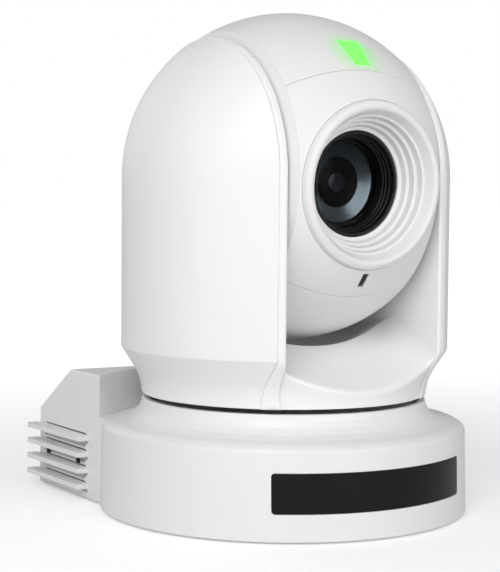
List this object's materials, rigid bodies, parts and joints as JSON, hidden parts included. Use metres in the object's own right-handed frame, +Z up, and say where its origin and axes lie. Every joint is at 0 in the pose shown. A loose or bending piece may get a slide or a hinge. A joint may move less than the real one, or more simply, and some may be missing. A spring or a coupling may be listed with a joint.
{
  "type": "ptz camera",
  "caption": "Pan-tilt-zoom camera: a round lens head tilts between the two arms of a domed yoke, which pans on a round base with a rear connector block.",
  "frame": {"origin": "where the pan axis meets the plane of the base's bottom plate", "axes": "+Z up along the pan axis; the base faces -Y, and at rest the lens looks 2.9 degrees to the side of -Y and 3.5 degrees below level; +X is on the right of someone who faces the lens"},
  "size_m": [0.18, 0.2016, 0.2408],
  "materials": {
    "shell_white": "satin",
    "cover_white": "satin",
    "frame_white": "satin",
    "head_white": "matte",
    "fin_white": "satin",
    "window_black": "glossy",
    "port_black": "matte",
    "lens_black": "satin",
    "lens_glass": "coated",
    "tally_green": "glowing, translucent",
    "black_rubber": "matte",
    "black_steel": "satin",
    "dark_steel": "satin",
    "bright_steel": "satin",
    "aluminium": "satin",
    "brass": "satin",
    "board_green": "satin",
    "dark_panel": "matte"
  },
  "bodies": {
    "base": {"base_housing": "shell_white", "bottom_plate": "dark_steel", "rear_housing": "shell_white", "rear_bottom_plate": "dark_steel", "connector_panel": "dark_panel", "side_vent_left": "fin_white", "side_vent_right": "fin_white", "vent_screw_left_front": "black_steel", "vent_screw_left_rear": "black_steel", "vent_screw_right_front": "black_steel", "vent_screw_right_rear": "black_steel", "front_window": "window_black", "tripod_socket": "brass", "foot_front_left": "black_rubber", "foot_front_right": "black_rubber", "foot_rear_left": "black_rubber", "foot_rear_right": "black_rubber", "pan_motor": "black_steel", "pan_bearing": "bright_steel", "pan_belt": "black_rubber", "main_board": "board_green", "heat_sink": "aluminium", "power_jack": "port_black", "network_port": "port_black", "hdmi_port": "port_black", "sdi_port": "bright_steel", "genlock_port": "bright_steel", "serial_port": "port_black", "audio_jack": "port_black"},
    "pan_motor_rotor": {"pan_motor_pulley": "brass"},
    "yoke": {"yoke_frame": "frame_white", "side_cover_left": "cover_white", "side_cover_right": "cover_white", "pan_shaft": "aluminium", "pan_pulley": "aluminium", "tilt_bearing_left": "bright_steel", "tilt_bearing_right": "bright_steel", "tilt_motor": "black_steel", "tilt_motor_bracket": "aluminium", "tilt_belt": "black_rubber", "arm_board": "board_green"},
    "tilt_motor_rotor": {"tilt_motor_pulley": "brass"},
    "head": {"head_front_shell": "head_white", "head_upper_shell": "head_white", "head_lower_shell": "head_white", "head_side_left": "head_white", "head_side_right": "head_white", "lens_ring": "head_white", "lens_barrel": "lens_black", "front_lens": "lens_glass", "camera_block": "port_black", "image_sensor": "dark_panel", "tally_light": "tally_green", "microphone_insert": "port_black", "tilt_shaft_left": "bright_steel", "tilt_shaft_right": "bright_steel", "tilt_pulley": "aluminium"},
    "zoom_group": {"zoom_lens": "lens_glass"},
    "focus_group": {"focus_lens": "lens_glass"}
  },
  "joints": [
    {"name": "pan", "type": "hinge", "parent": "base", "child": "yoke", "pos_m": [0, 0, 0.0558], "axis": [0, 0, 1], "range_deg": [-172.9, 167.1]},
    {"name": "tilt", "type": "hinge", "parent": "yoke", "child": "head", "pos_m": [0, 0, 0.161], "axis": [-0.9987, -0.0506, 0], "range_deg": [-26.5, 93.5]},
    {"name": "pan_motor_turn", "type": "hinge", "parent": "base", "child": "pan_motor_rotor", "pos_m": [0.034, -0.034, 0.0365], "axis": [0, 0, 1], "range_deg": [-795, 795]},
    {"name": "tilt_motor_turn", "type": "hinge", "parent": "yoke", "child": "tilt_motor_rotor", "pos_m": [0, 0, 0.115], "axis": [-0.9987, -0.0506, 0], "range_deg": [-100, 350]},
    {"name": "zoom", "type": "slide", "parent": "head", "child": "zoom_group", "axis": [0.0505, -0.9969, -0.061], "range_m": [-0.008, 0.003]},
    {"name": "focus", "type": "slide", "parent": "head", "child": "focus_group", "axis": [0.0505, -0.9969, -0.061], "range_m": [-0.004, 0.004]}
  ],
  "couplings": [
    {"joint": "pan_motor_turn", "follows": "pan", "ratio": 4.5714},
    {"joint": "tilt_motor_turn", "follows": "tilt", "ratio": 3.7143}
  ]
}
